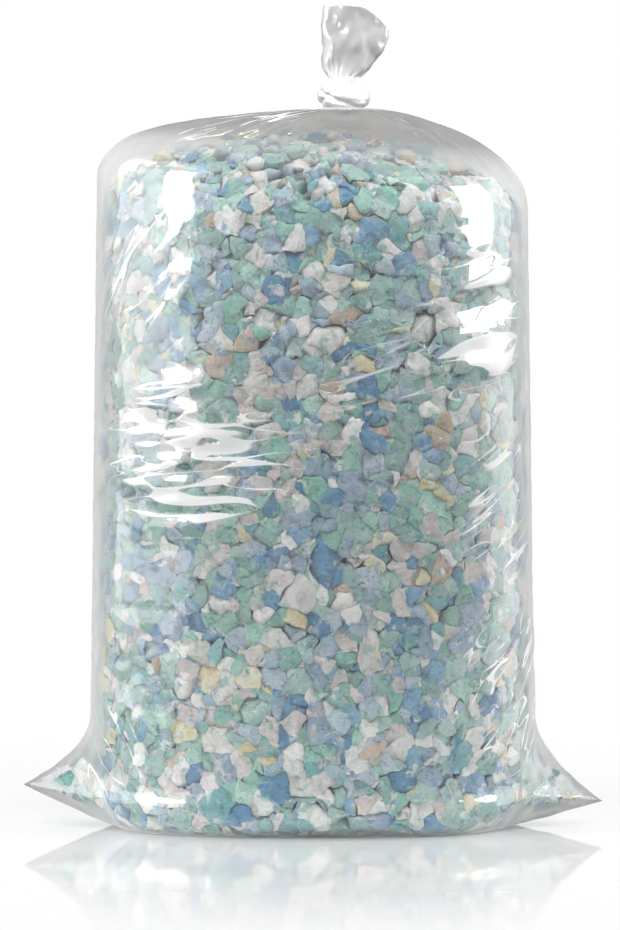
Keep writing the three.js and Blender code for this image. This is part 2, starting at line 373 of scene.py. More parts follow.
class NodeTree:
    """A short way to add and link the nodes of a material."""

    def __init__(self, material: bpy.types.Material) -> None:
        """Keeps the node tree of a material and a texture coordinate node.

        Args:
            material: The material.
        """
        material.use_nodes = True
        self.nodes = material.node_tree.nodes
        self.links = material.node_tree.links
        self.place = self.nodes.new("ShaderNodeTexCoord").outputs["Object"]

    def add(self, kind: str, operation: str = "", **inputs: object) -> bpy.types.Node:
        """Adds a node and sets or links its inputs.

        Args:
            kind: The node's type.
            operation: Its operation, for a math node.
            inputs: Values or sockets for its inputs, by their names with _ for a blank, or by i and a number.

        Returns:
            The node.
        """
        node = self.nodes.new(kind)
        if operation:
            node.operation = operation
        for name, value in inputs.items():
            socket = node.inputs[int(name[1:])] if name[1:].isdigit() else node.inputs[name.replace("_", " ")]
            if isinstance(value, bpy.types.NodeSocket):
                self.links.new(value, socket)
            else:
                socket.default_value = value
        return node

    def noise(self, cell: float, detail: float = 2.0, **more: object) -> bpy.types.NodeSocket:
        """Adds a noise on the object's coordinates.

        Args:
            cell: Size of a noise cell in metres.
            detail: Octaves.
            more: Other inputs of the noise.

        Returns:
            The socket of its value.
        """
        node = self.add("ShaderNodeTexNoise", Vector=self.place, Scale=1 / cell, Detail=detail, **more)
        return node.outputs["Fac"]

    def ranged(
        self, value: bpy.types.NodeSocket, source: tuple[float, float], target: tuple[float, float]
    ) -> bpy.types.NodeSocket:
        """Maps a value from one range to another.

        Args:
            value: The value.
            source: Range that it comes in.
            target: Range that it goes out in.

        Returns:
            The socket of the mapped value.
        """
        names = ("From_Min", "From_Max", "To_Min", "To_Max")
        ends = dict(zip(names, source + target))
        return self.add("ShaderNodeMapRange", Value=value, **ends).outputs["Result"]

    def math(self, operation: str, first: object, second: object) -> bpy.types.NodeSocket:
        """Adds a math node.

        Args:
            operation: Its operation.
            first: Its first value or socket.
            second: Its second value or socket.

        Returns:
            The socket of the result.
        """
        return self.add("ShaderNodeMath", operation, i0=first, i1=second).outputs["Value"]


def fill_ramp(
    ramp: bpy.types.ColorRamp, places: Sequence[float], colours: Sequence[tuple[float, float, float]]
) -> None:
    """Sets the stops of a colour ramp.

    Args:
        ramp: The ramp.
        places: Where the stops are, in rising order.
        colours: Their colours.
    """
    while len(ramp.elements) < len(places):
        ramp.elements.new(1.0)
    for element, place, colour in zip(ramp.elements, places, colours):
        element.position = place
        element.color = (*colour, 1.0)


@dataclass(frozen=True)
class FoamFinish:
    """Torn foam: each crumb has its own tone, bits of other crumb on it and fine fibres, with painted shade
    in its tears, pores, the low parts of its relief and the crevices between crumbs.
    """

    colour: FoamColour
    roughness: float = 0.95
    specular: float = 0.15
    sheen: float = 0.15
    bit_size: float = 9 * MM
    ragged_cell: float = 6 * MM
    ragged_reach: float = 13 * MM
    relief_cell: float = 4.5 * MM
    relief_rise: float = 0.8 * MM
    fibre_cell: float = 1.6 * MM
    fibre_stretch: float = 0.18
    fibre_rise: float = 0.3
    fibre_turn: float = 6.0
    tone_cell: float = 11 * MM
    held_cell: float = 10 * MM
    held_share: float = 0.8
    tint_cell: float = 24 * MM
    tint_share: float = 0.14
    tear_cell: float = 8 * MM
    tear_width: float = 0.06
    tear_light: float = 0.16
    pore_cell: float = 2.8 * MM
    pore_light: float = 0.4
    # painted shade: how light the foam's colour is at the bottom of the deepest crevices
    crevice_light: float = 0.2

    def material(self) -> bpy.types.Material:
        """Makes the material.

        Returns:
            The material.
        """
        material = bpy.data.materials.new(f"foam_{self.colour.name}")
        tree = NodeTree(material)
        shader = tree.nodes["Principled BSDF"]
        shader.inputs["Roughness"].default_value = self.roughness
        shader.inputs["Specular IOR Level"].default_value = self.specular
        shader.inputs["Sheen Weight"].default_value = self.sheen
        wander = tree.add("ShaderNodeTexNoise", Vector=tree.place, Scale=1 / self.ragged_cell, Detail=3.0)
        wander = tree.add("ShaderNodeVectorMath", "SUBTRACT", i0=wander.outputs["Color"], i1=(0.5, 0.5, 0.5))
        wander = tree.add(
            "ShaderNodeVectorMath", "SCALE", i0=wander.outputs["Vector"], Scale=self.ragged_reach
        )
        ragged = tree.add("ShaderNodeVectorMath", "ADD", i0=tree.place, i1=wander.outputs["Vector"])
        ragged = ragged.outputs["Vector"]
        bits = tree.add("ShaderNodeTexVoronoi", Vector=ragged, Scale=1 / self.bit_size).outputs["Color"]
        colour = self.colours(tree, bits)
        height = tree.noise(self.relief_cell, 4.0, Roughness=0.6)
        fibre = self.fibre(tree, bits)
        # Painted shade: the colour is darker in the low parts of the relief noise and a little lighter on its
        # tops; the fibre streaks add their own tone.
        shade = tree.ranged(height, (0.3, 0.6), (0.9, 1.03))
        shade = tree.math("MULTIPLY", shade, tree.ranged(fibre, (0.3, 0.7), (0.92, 1.05)))
        # Painted shade in the tears and pores darkens the colour.
        pit_shading = tree.math("MULTIPLY", self.tear_shade(tree, ragged), self.pore_shade(tree))
        shade = tree.math("MULTIPLY", shade, tree.ranged(pit_shading, (0.0, 1.0), (1 - self.colour.pit_shade, 1.0)))
        # Painted shade: the colour is darkened where a point lies deep under the fill's skin, in the crevices
        # between crumbs.
        crevice_shade = tree.nodes.new("ShaderNodeAttribute")
        crevice_shade.attribute_name = "crevice_shade"
        crevice_shading = tree.ranged(crevice_shade.outputs["Fac"], (0.0, 1.0), (1.0, self.crevice_light))
        shade = tree.math("MULTIPLY", shade, crevice_shading)
        shaded = tree.add("ShaderNodeVectorMath", "SCALE", i0=colour, Scale=shade)
        tree.links.new(shaded.outputs["Vector"], shader.inputs["Base Color"])
        relief = tree.math("ADD", height, tree.math("MULTIPLY", fibre, self.fibre_rise))
        bump = tree.add("ShaderNodeBump", Strength=1.0, Distance=self.relief_rise, Height=relief)
        tree.links.new(bump.outputs["Normal"], shader.inputs["Normal"])
        return material

    def colours(self, tree: NodeTree, bits: bpy.types.NodeSocket) -> bpy.types.NodeSocket:
        """Colour of a crumb, with bits of all the other colours on it.

        Args:
            tree: The material's nodes.
            bits: The random colour of each bit.

        Returns:
            The socket of the colour.
        """
        island = tree.nodes.new("ShaderNodeNewGeometry").outputs["Random Per Island"]
        drift = tree.ranged(tree.noise(self.tone_cell, 3.0), (0.25, 0.75), (-0.35, 0.35))
        tones = tree.add("ShaderNodeValToRGB", Fac=tree.math("ADD", island, drift))
        steps = [k / (len(self.colour.tones) - 1) for k in range(len(self.colour.tones))]
        fill_ramp(tones.color_ramp, steps, self.colour.tones)
        chance = tree.add("ShaderNodeSeparateColor", Color=bits).outputs["Red"]
        palette = tree.add("ShaderNodeValToRGB", Fac=chance)
        palette.color_ramp.interpolation = "CONSTANT"
        starts = [sum(colour.share for colour in FOAM_COLOURS[:k]) for k in range(len(FOAM_COLOURS))]
        fill_ramp(palette.color_ramp, starts, [colour.tones[1] for colour in FOAM_COLOURS])
        held = tree.ranged(tree.noise(self.held_cell, 3.0), (0.53, 0.64), (0.0, self.held_share))
        mixed = tree.add(
            "ShaderNodeMixRGB", Fac=held, Color1=tones.outputs["Color"], Color2=palette.outputs["Color"]
        )
        tint = tree.add("ShaderNodeValToRGB", Fac=tree.noise(self.tint_cell, 1.0))
        fill_ramp(tint.color_ramp, (0.3, 0.43, 0.54, 0.68), [FOAM_COLOURS[k].tones[1] for k in (3, 2, 4, 1)])
        tinted = tint.outputs["Color"]
        soft = tree.add("ShaderNodeMixRGB", Fac=self.tint_share, Color1=mixed.outputs["Color"], Color2=tinted)
        return soft.outputs["Color"]

    def fibre(self, tree: NodeTree, bits: bpy.types.NodeSocket) -> bpy.types.NodeSocket:
        """Fine streaks that run another way in each bit.

        Args:
            tree: The material's nodes.
            bits: The random colour of each bit.

        Returns:
            The socket of the streaks' height.
        """
        turn = tree.add("ShaderNodeVectorMath", "SCALE", i0=bits, Scale=self.fibre_turn)
        turned = tree.nodes.new("ShaderNodeVectorRotate")
        turned.rotation_type = "EULER_XYZ"
        tree.links.new(tree.place, turned.inputs["Vector"])
        tree.links.new(turn.outputs["Vector"], turned.inputs["Rotation"])
        stretch = (1.0, 1.0, self.fibre_stretch)
        drawn = tree.add("ShaderNodeMapping", Vector=turned.outputs["Vector"], Scale=stretch)
        streaks = tree.add(
            "ShaderNodeTexNoise", Vector=drawn.outputs["Vector"], Scale=1 / self.fibre_cell, Detail=2.0
        )
        return streaks.outputs["Fac"]

    def tear_shade(self, tree: NodeTree, ragged: bpy.types.NodeSocket) -> bpy.types.NodeSocket:
        """Painted shade in short tears between the bits: dark lines along their edges.

        Args:
            tree: The material's nodes.
            ragged: The wandering coordinates of the bits.

        Returns:
            The socket of how light the surface is.
        """
        edge = tree.nodes.new("ShaderNodeTexVoronoi")
        edge.feature = "DISTANCE_TO_EDGE"
        tree.links.new(ragged, edge.inputs["Vector"])
        edge.inputs["Scale"].default_value = 1 / self.bit_size
        thin = tree.ranged(edge.outputs["Distance"], (0.0, self.tear_width), (0.0, 1.0))
        whole = tree.ranged(tree.noise(self.tear_cell, 2.0), (0.52, 0.57), (1.0, 0.0))
        return tree.ranged(tree.math("MAXIMUM", thin, whole), (0.0, 1.0), (self.tear_light, 1.0))

    def pore_shade(self, tree: NodeTree) -> bpy.types.NodeSocket:
        """Painted shade in pores: dark specks.

        Args:
            tree: The material's nodes.

        Returns:
            The socket of how light the surface is.
        """
        return tree.ranged(tree.noise(self.pore_cell, 1.0), (0.68, 0.72), (1.0, self.pore_light))


@dataclass(frozen=True)
class CrumbLayer:
    """A layer of crumbs: spacing, depths, whether torn, share of the lattice and how far out it starts."""

    spacing: float
    shallow: float
    deep: float
    torn: bool
    share: float = 1.0
    beyond: float = 0.0


@dataclass(frozen=True)
class Site:
    """Where a crumb lies, its layer, its weight against its neighbours and the grain of its tears."""

    place: Vector
    layer: CrumbLayer
    weight: float
    grain: Matrix


@dataclass
class FoamCrumb:
    """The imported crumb. Every crumb is a lump cut by uneven planes between it and the crumbs around it."""

    fill: bpy.types.Object
    layers: tuple[CrumbLayer, ...] = (
        CrumbLayer(12.5 * MM, 2 * MM, 13 * MM, True),
        CrumbLayer(8 * MM, 2 * MM, 7 * MM, True, share=0.3),
        CrumbLayer(8 * MM, -5 * MM, 9 * MM, True, share=0.9, beyond=190 * MM),
        CrumbLayer(24 * MM, 13 * MM, 38 * MM, False),
    )
    jitter: float = 0.4
    size_spread: float = 0.5
    largest: float = 1.65
    elongation: float = 0.5
    block: float = 2.6
    lean: float = 0.25
    proud: float = 1.2 * MM
    ear_proud: float = 6 * MM
    sunk: float = 1.9 * MM
    heap_sinking: float = 2.6
    face_tilt: tuple[float, float] = (0.25, 0.7)
    warp: float = 3.6 * MM
    warp_cell: float = 12 * MM
    press: float = 0.1
    gape: float = 0.24
    gape_cell: float = 17 * MM
    smoothing: float = 0.05
    loose_smoothing: float = 0.4
    loose_cell: float = 9 * MM
    loose_warp: float = 1.5 * MM
    divisions: tuple[tuple[float, float], ...] = (
        (8 * MM, 9 * MM),
        (5.2 * MM, 4.4 * MM),
        (4.1 * MM, 2.8 * MM),
    )
    # depths under the skin where the painted crevice shade starts and where it is full
    crevice_shade_depths: tuple[float, float] = (2 * MM, 7.5 * MM)
    ear_start: tuple[float, float] = (186 * MM, 204 * MM)
    sharp_angle: float = math.radians(40)
    neighbours: int = 28
    seed: int = 20
    sites: list[Site] = field(default_factory=list)

    def __post_init__(self) -> None:
        """Takes the skin of the solid fill, which the crumb stays under."""
        self.random = random.Random(self.seed)
        noise.seed_set(self.seed)
        skin = bmesh.new()
        skin.from_mesh(self.fill.data)
        skin.transform(self.fill.matrix_world)
        bmesh.ops.remove_doubles(skin, verts=skin.verts, dist=1e-6)
        bmesh.ops.triangulate(skin, faces=skin.faces[:])
        bmesh.ops.recalc_face_normals(skin, faces=skin.faces)
        skin.normal_update()
        self.skin = BVHTree.FromBMesh(skin)
        self.corners = [[vert.co.copy() for vert in face.verts] for face in skin.faces]
        self.normals = [[vert.normal.copy() for vert in face.verts] for face in skin.faces]
        low = [min(v.co[axis] for v in skin.verts) for axis in range(3)]
        high = [max(v.co[axis] for v in skin.verts) for axis in range(3)]
        self.box = (Vector(low), Vector(high))
        skin.free()

    def depth(self, point: Vector) -> tuple[float, Vector, Vector]:
        """How deep a point lies under the skin.

        Args:
            point: The point.

        Returns:
            The depth, less than zero outside, the skin's nearest point and its smooth normal there.
        """
        near, _, index, distance = self.skin.find_nearest(point)
        shares = poly_3d_calc(self.corners[index], near)
        normal = sum((n * share for n, share in zip(self.normals[index], shares)), Vector()).normalized()
        inside = (point - near).dot(normal) < 0
        return (distance if inside else -distance), near, normal

    def rise(self, point: Vector) -> float:
        """How far a crumb may stand out of the skin; in the ears there is more room under the film.

        Args:
            point: A point of the crumb.

        Returns:
            The distance.
        """
        return mix(self.proud, self.ear_proud, smoothstep(abs(point.x), *self.ear_start))

    def spread(self, reach: float) -> Vector:
        """A random offset.

        Args:
            reach: How far it goes along each axis, either way.

        Returns:
            The offset.
        """
        return Vector([self.random.uniform(-reach, reach) for _ in range(3)])

    def grain(self) -> Matrix:
        """A random stretch, so that crumbs are longer one way than the other.

        Returns:
            The metric of a stretched lump.
        """
        turn = Matrix.Rotation(self.random.uniform(0, math.tau), 3, self.spread(1.0).normalized())
        stretch = Matrix.Diagonal([math.exp(self.random.gauss(0, self.elongation)) for _ in range(3)])
        return turn @ stretch @ turn.transposed()

    def scatter(self) -> None:
        """Chooses where the crumbs lie: an uneven lattice in each layer."""
        low, high = self.box
        for layer in self.layers:
            step = layer.spacing * 2 ** (1 / 3)
            counts = [int((high[axis] - low[axis]) / step) + 2 for axis in range(3)]
            cells = [(i, j, k) for i in range(counts[0]) for j in range(counts[1]) for k in range(counts[2])]
            for cell in cells:
                for half in (0.0, 0.5):
                    if self.random.random() > layer.share:
                        continue
                    corner = (Vector(cell) + Vector((half, half, half))) * step
                    point = low + corner + self.spread(self.jitter * layer.spacing)
                    if abs(point.x) >= layer.beyond and layer.shallow < self.depth(point)[0] <= layer.deep:
                        growth = min(math.exp(self.random.gauss(0, self.size_spread)), self.largest)
                        weight = (0.5 * layer.spacing * growth) ** 2
                        self.sites.append(Site(point, layer, weight, self.grain()))

    def cut(self, lump: bmesh.types.BMesh, through: Vector, normal: Vector) -> None:
        """Cuts a lump by a plane and closes the cut.

        Args:
            lump: The lump, changed in place.
            through: A point of the plane.
            normal: Towards the side that is cut off.
        """
        if max((v.co - through).dot(normal) for v in lump.verts) <= 1e-7:
            return
        geometry = lump.verts[:] + lump.edges[:] + lump.faces[:]
        result = bmesh.ops.bisect_plane(
            lump, geom=geometry, dist=1e-7, plane_co=through, plane_no=normal, clear_outer=True
        )
        edges = [item for item in result["geom_cut"] if isinstance(item, bmesh.types.BMEdge)]
        if edges:
            bmesh.ops.contextual_create(lump, geom=edges)

    def between(self, first: int, second: int) -> tuple[Vector, Vector]:
        """The plane between two crumbs, the same for both.

        Args:
            first: Number of the crumb that is cut.
            second: Number of its neighbour.

        Returns:
            A point of the plane and its normal, towards the neighbour.
        """
        one, two = self.sites[first], self.sites[second]
        apart = two.place - one.place
        distance = apart.length
        reach = (distance * distance + one.weight - two.weight) / (2 * distance)
        pair = random.Random(min(first, second) * 100003 + max(first, second))
        tilt = Vector([pair.uniform(-self.lean, self.lean) for _ in range(3)])
        way = apart / distance
        normal = (one.grain + two.grain) @ way + (tilt if first < second else -tilt)
        if normal.dot(way) < 0.3 * normal.length:
            normal = way
        return one.place + way * reach, normal.normalized()

    def lump(self, index: int, tree: KDTree) -> bmesh.types.BMesh | None:
        """Cuts one crumb out between its neighbours.

        Args:
            index: Number of its site.
            tree: The sites, for finding its neighbours.

        Returns:
            The crumb, or None where its neighbours leave nothing of it.
        """
        site = self.sites[index]
        crumb = bmesh.new()
        size = self.block * site.layer.spacing
        bmesh.ops.create_cube(crumb, size=size, matrix=Matrix.Translation(site.place))
        planes = [self.between(index, other) for _, other, _ in tree.find_n(site.place, self.neighbours)[1:]]
        if site.layer.torn:
            _, near, outward = self.depth(site.place)
            heap = smoothstep(outward.z, 0.4, 0.8)
            sunk = self.random.random() ** 2 * mix(self.sunk, self.heap_sinking * self.sunk, heap)
            for _ in range(3):
                face = (outward + self.spread(mix(*self.face_tilt, heap))).normalized()
                planes.append((near + outward * (self.rise(site.place) - sunk), face))
        for through, normal in planes:
            self.cut(crumb, through, normal)
            if len(crumb.verts) < 4:
                crumb.free()
                return None
        bmesh.ops.dissolve_degenerate(crumb, dist=1e-5, edges=crumb.edges[:])
        return crumb

    def divide(self, crumb: bmesh.types.BMesh, longest: float, deepest: float) -> None:
        """Divides the faces of a crumb that lie near the film.

        Args:
            crumb: The crumb, changed in place.
            longest: Edges longer than this are divided.
            deepest: Edges deeper than this are left.
        """
        edges = []
        for edge in crumb.edges:
            middle = (edge.verts[0].co + edge.verts[1].co) / 2
            if edge.calc_length() > longest and self.depth(middle)[0] < deepest:
                edges.append(edge)
        bmesh.ops.subdivide_edges(crumb, edges=edges, cuts=1, use_grid_fill=True)
        bmesh.ops.triangulate(crumb, faces=crumb.faces[:])

    def tear_faces(self, crumb: bmesh.types.BMesh, layer: CrumbLayer) -> None:
        """Rounds a crumb, opens the gaps round it here and there, tears its surface and stores the painted
        shade of its crevices.

        Args:
            crumb: The crumb, changed in place.
            layer: The layer that it lies in.
        """
        bmesh.ops.triangulate(crumb, faces=crumb.faces[:])
        if layer.torn:
            self.divide(crumb, *self.divisions[0])
            bmesh.ops.smooth_vert(crumb, verts=crumb.verts[:], factor=self.smoothing, **ALL_AXES)
            for longest, deepest in self.divisions[1:]:
                self.divide(crumb, longest, deepest)
        middle = sum((v.co for v in crumb.verts), Vector()) / len(crumb.verts)
        # Painted shade for the crevices: how deep each point lies under the skin, kept for the foam's colour.
        crevice_shade = crumb.verts.layers.float.new("crevice_shade")
        for vert in crumb.verts:
            open_here = smoothstep(noise.noise(vert.co / self.gape_cell), 0.26, 0.55)
            place = middle + (vert.co - middle) * (1 + self.press - self.gape * open_here)
            bent = place + self.bend(place / self.warp_cell, 3) * self.warp
            depth, near, outward = self.depth(bent)
            rise = self.rise(bent)
            if depth < -rise:
                bent = near + outward * rise
            vert[crevice_shade] = smoothstep(depth, *self.crevice_shade_depths)
            vert.co = bent

    def bend(self, place: Vector, octaves: int) -> Vector:
        """Which way a torn face is bent, and how much.

        Args:
            place: The point, in cells of the noise.
            octaves: Octaves of the noise.

        Returns:
            The bend, about one unit long.
        """
        return noise.turbulence_vector(place, octaves, False, amplitude_scale=0.5, frequency_scale=2.2)

    def refine(self, node: bpy.types.Object) -> bmesh.types.BMesh:
        """Tears the faces of a loose crumb.

        Args:
            node: The crumb's solid, which stays as it is.

        Returns:
            A finer crumb of the same form.
        """
        crumb = bmesh.new()
        crumb.from_mesh(node.data)
        bmesh.ops.remove_doubles(crumb, verts=crumb.verts, dist=1e-6)
        bmesh.ops.subdivide_edges(crumb, edges=crumb.edges[:], cuts=2, use_grid_fill=True)
        bmesh.ops.triangulate(crumb, faces=crumb.faces[:])
        bmesh.ops.smooth_vert(crumb, verts=crumb.verts[:], factor=self.loose_smoothing, **ALL_AXES)
        for vert in crumb.verts:
            vert.co += self.bend(vert.co / self.loose_cell, 2) * self.loose_warp
        return crumb

    def build(self, loose: dict[str, list[bpy.types.Object]]) -> list[bpy.types.Object]:
        """Packs the crumb.

        Args:
            loose: Solids of the loose crumbs for each name of a colour.

        Returns:
            One object for each colour of foam.
        """
        self.scatter()
        tree = KDTree(len(self.sites))
        for index, site in enumerate(self.sites):
            tree.insert(site.place, index)
        tree.balance()
        groups = {colour.name: bmesh.new() for colour in FOAM_COLOURS}
        for group in groups.values():
            group.verts.layers.float.new("crevice_shade")
        carrier = bpy.data.meshes.new("carrier")
        shares = [colour.share for colour in FOAM_COLOURS]
        for index, site in enumerate(self.sites):
            colour = self.random.choices(FOAM_COLOURS, shares)[0]
            crumb = self.lump(index, tree)
            if crumb is None:
                continue
            self.tear_faces(crumb, site.layer)
            crumb.to_mesh(carrier)
            groups[colour.name].from_mesh(carrier)
            crumb.free()
        for name, nodes in loose.items():
            for node in nodes:
                crumb = self.refine(node)
                crumb.to_mesh(carrier)
                groups[name].from_mesh(carrier)
                crumb.free()
        bpy.data.meshes.remove(carrier)
        LOG.info("%d crumbs", len(self.sites))
        objects = []
        for colour in FOAM_COLOURS:
            LOG.info("foam %s: %d faces", colour.name, len(groups[colour.name].faces))
            obj = object_from(groups[colour.name], f"foam_{colour.name}")
            obj.data.set_sharp_from_angle(angle=self.sharp_angle)
            obj.data.materials.append(FoamFinish(colour).material())
            objects.append(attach(obj, "root"))
        return objects


@dataclass(frozen=True)
class FilmFinish:
    """Clear polythene: a little milky, milkier edge on and where it is bunched, with a wet gloss; whiter
    along its creases, partly as painted highlight, with painted shade in dark grey at the dome and ears and
    darker edges on the knot as painted shade.
    """

    tint: tuple[float, ...] = (0.94, 0.94, 0.935, 1)
    # white of the creases: partly thicker film, partly painted highlight
    crease_highlight_white: tuple[float, ...] = (0.95, 0.95, 0.94, 1)
    haze: tuple[float, float] = (0.04, 0.85)
    haze_power: float = 2.2
    haze_in_light: float = 0.35
    dome_layers: float = 0.12
    dome_haze: float = 0.55
    layer_power: float = 0.45
    crease_highlight_haze: float = 0.8
    wet_roughness: float = 0.06
    veil_roughness: float = 0.45
    veil_share: float = 0.4
    index: float = 1.58
    most_gloss: float = 0.24
    dent_cell: float = 15 * MM
    dent_rise: float = 1.2 * MM
    dent_strength: float = 0.2
    fold_rise: float = 2.2 * MM

    def material(self) -> bpy.types.Material:
        """Makes the material.

        Returns:
            The material.
        """
        material = bpy.data.materials.new("film")
        tree = NodeTree(material)
        tree.nodes.remove(tree.nodes["Principled BSDF"])
        bunched = tree.add("ShaderNodeAttribute")
        bunched.attribute_name = "bunched"
        layers = bunched.outputs["Fac"]
        edge = tree.add("ShaderNodeLayerWeight", Blend=0.5)
        haze = tree.ranged(tree.math("POWER", edge.outputs["Facing"], self.haze_power), (0.0, 1.0), self.haze)
        thinned = tree.ranged(layers, (0.0, self.dome_layers), (1.0, self.dome_haze))
        haze = tree.math("MULTIPLY", haze, thinned)
        haze = tree.math("ADD", haze, tree.math("POWER", layers, self.layer_power))
        # Painted highlight, partly real: the film is milkier along its creases, partly as thicker film,
        # partly standing for the gloss streaks of the lamps.
        ridge = self.ridge(tree)
        haze = tree.math("ADD", haze, tree.math("MULTIPLY", ridge, self.crease_highlight_haze))
        haze = tree.math("MINIMUM", haze, 1.0)
        path = tree.nodes.new("ShaderNodeLightPath")
        lit = tree.math("MAXIMUM", path.outputs["Is Shadow Ray"], path.outputs["Is Diffuse Ray"])
        haze = tree.math("MULTIPLY", haze, tree.ranged(lit, (0.0, 1.0), (1.0, self.haze_in_light)))
        # The milk's grey by how bunched the film is; the dark grey at the dome and ears is painted shade,
        # standing for the shade seen through the gathered film there.
        milk_and_shade = tree.add("ShaderNodeValToRGB", Fac=layers)
        milk_and_shade_greys = ((0.74, 0.74, 0.73), (0.2, 0.196, 0.188), (0.57, 0.56, 0.56), (0.97, 0.97, 0.96))
        fill_ramp(milk_and_shade.color_ramp, (0.0, self.dome_layers, 0.45, 1.0), milk_and_shade_greys)
        # Painted shade: bunched film is darkened towards its edges as seen, most on the knot.
        edge_shade = tree.math("MULTIPLY", tree.math("POWER", edge.outputs["Facing"], 2.0), layers)
        edge_shade = tree.ranged(edge_shade, (0.0, 1.0), (1.0, 0.84))
        toned = tree.add("ShaderNodeVectorMath", "SCALE", i0=milk_and_shade.outputs["Color"], Scale=edge_shade)
        toned = toned.outputs["Vector"]
        # Painted highlight along the creases, partly the film's own milkiness.
        crease_highlighted = tree.add("ShaderNodeMixRGB", Fac=ridge, Color1=toned, Color2=self.crease_highlight_white)
        body = tree.add("ShaderNodeBsdfDiffuse", Color=crease_highlighted.outputs["Color"])
        clear = tree.add("ShaderNodeBsdfTransparent", Color=self.tint)
        milky = tree.add("ShaderNodeMixShader", Fac=haze, i1=clear.outputs["BSDF"], i2=body.outputs["BSDF"])
        uneven = tree.noise(self.dent_cell, 2.0)
        dents = tree.add(
            "ShaderNodeBump", Strength=self.dent_strength, Distance=self.dent_rise, Height=uneven
        )
        dents = dents.outputs["Normal"]
        folds = tree.add("ShaderNodeBump", Distance=self.fold_rise, Height=ridge, Normal=dents)
        normal = folds.outputs["Normal"]
        wet = tree.add("ShaderNodeBsdfGlossy", Roughness=self.wet_roughness, Normal=normal).outputs["BSDF"]
        veil = tree.add("ShaderNodeBsdfGlossy", Roughness=self.veil_roughness).outputs["BSDF"]
        gloss = tree.add("ShaderNodeMixShader", Fac=self.veil_share, i1=wet, i2=veil).outputs["Shader"]
        fresnel = tree.add("ShaderNodeFresnel", IOR=self.index, Normal=normal)
        share = tree.math("MINIMUM", fresnel.outputs["Fac"], self.most_gloss)
        share = tree.math("MULTIPLY", share, tree.ranged(lit, (0.0, 1.0), (1.0, 0.0)))
        share = tree.math("MULTIPLY", share, tree.ranged(layers, (0.2, 0.5), (1.0, 0.5)))
        glossy = tree.add("ShaderNodeMixShader", Fac=share, i1=milky.outputs["Shader"], i2=gloss)
        tree.links.new(glossy.outputs["Shader"], tree.nodes["Material Output"].inputs["Surface"])
        return material

    def ridge(self, tree: NodeTree) -> bpy.types.NodeSocket:
        """Long thin creases that follow the film's own pattern.

        Args:
            tree: The material's nodes.

        Returns:
            The socket of the creases' height, from 0 to 1.
        """
        pattern = tree.nodes.new("ShaderNodeAttribute")
        pattern.attribute_name = "crease"
        strength = tree.nodes.new("ShaderNodeAttribute")
        strength.attribute_name = "creased"
        run = pattern.outputs["Vector"]
        wave = tree.add("ShaderNodeTexNoise", Vector=run, Scale=1.0, Detail=1.0, Distortion=0.4)
        away = tree.math("ABSOLUTE", tree.math("SUBTRACT", wave.outputs["Fac"], 0.5), 0.0)
        crest = tree.nodes.new("ShaderNodeMapRange")
        crest.interpolation_type = "SMOOTHSTEP"
        tree.links.new(away, crest.inputs["Value"])
        swell = tree.add("ShaderNodeTexNoise", Vector=run, Scale=1.7, Detail=0.0)
        thick = tree.ranged(swell.outputs["Fac"], (0.4, 0.62), (0.006, 0.05))
        thick = tree.math("MULTIPLY", thick, tree.math("POWER", strength.outputs["Fac"], 2.0))
        tree.links.new(thick, crest.inputs["From Max"])
        tree.links.new(tree.math("MULTIPLY", thick, 0.4), crest.inputs["From Min"])
        crest.inputs["To Min"].default_value = 1.0
        crest.inputs["To Max"].default_value = 0.0
        height = tree.math("MULTIPLY", crest.outputs["Result"], strength.outputs["Fac"])
        return tree.math("MINIMUM", height, 1.0)


@dataclass(frozen=True)
class CreaseZone:
    """A patch of creased film: its middle round and up the bag, its half sizes and the run of its creases."""

    around: float
    height: float
    half_around: float
    half_height: float
    slope: float
    length: float = 110 * MM
    width: float = 17 * MM
    depth: float = 1.0
    rise: float = 2.0 * MM

    def share(self, around: float, height: float) -> float:
        """How strong the creases are at a point.

        Args:
            around: Distance round the bag from the middle of its front, to the right.
            height: Height.

        Returns:
            A share from 0 to the zone's depth.
        """
        across, up = around - self.around, height - self.height
        if abs(across) > self.half_around or abs(up) > self.half_height:
            return 0.0
        inside = 1 - math.hypot(across / self.half_around, up / self.half_height)
        return self.depth * smoothstep(inside, 0.0, 0.6)

    def run(self, around: float, height: float) -> Vector:
        """Where a point lies in the pattern of the creases.

        Args:
            around: Distance round the bag from the middle of its front, to the right.
            height: Height.

        Returns:
            Its place along and across the creases, and a number that tells the zones apart.
        """
        across, up = around - self.around, height - self.height
        along = across * math.cos(self.slope) + up * math.sin(self.slope)
        aside = up * math.cos(self.slope) - across * math.sin(self.slope)
        return Vector((along / self.length, aside / self.width, 40 * self.around))


CREASE_ZONES = (
    CreaseZone(-0.1, 0.315, 0.12, 0.095, 0.06, length=80 * MM, depth=1.35, rise=3.4 * MM),
    CreaseZone(-0.15, 0.46, 0.08, 0.08, 0.8, depth=0.8, rise=3.0 * MM),
    CreaseZone(0.065, 0.37, 0.08, 0.08, 0.25, depth=0.7),
    CreaseZone(0.14, 0.43, 0.08, 0.09, 0.15, width=24 * MM, depth=1.4, rise=3.8 * MM),
    CreaseZone(0.16, 0.27, 0.09, 0.1, 0.45, depth=0.8),
    CreaseZone(0.18, 0.12, 0.12, 0.11, 0.7, length=60 * MM, depth=0.9),
    CreaseZone(-0.18, 0.07, 0.1, 0.07, -0.7, depth=0.8),
    CreaseZone(0.0, 0.12, 0.13, 0.08, 0.3, depth=0.25),
    CreaseZone(0.35, 0.36, 0.11, 0.12, -0.2),
    CreaseZone(-0.36, 0.4, 0.11, 0.1, 0.25),
    CreaseZone(0.48, 0.2, 0.12, 0.1, 0.1),
    CreaseZone(-0.47, 0.25, 0.12, 0.1, -0.3),
    CreaseZone(0.34, 0.1, 0.1, 0.09, -0.8),
    CreaseZone(-0.34, 0.1, 0.1, 0.09, 0.8),
)


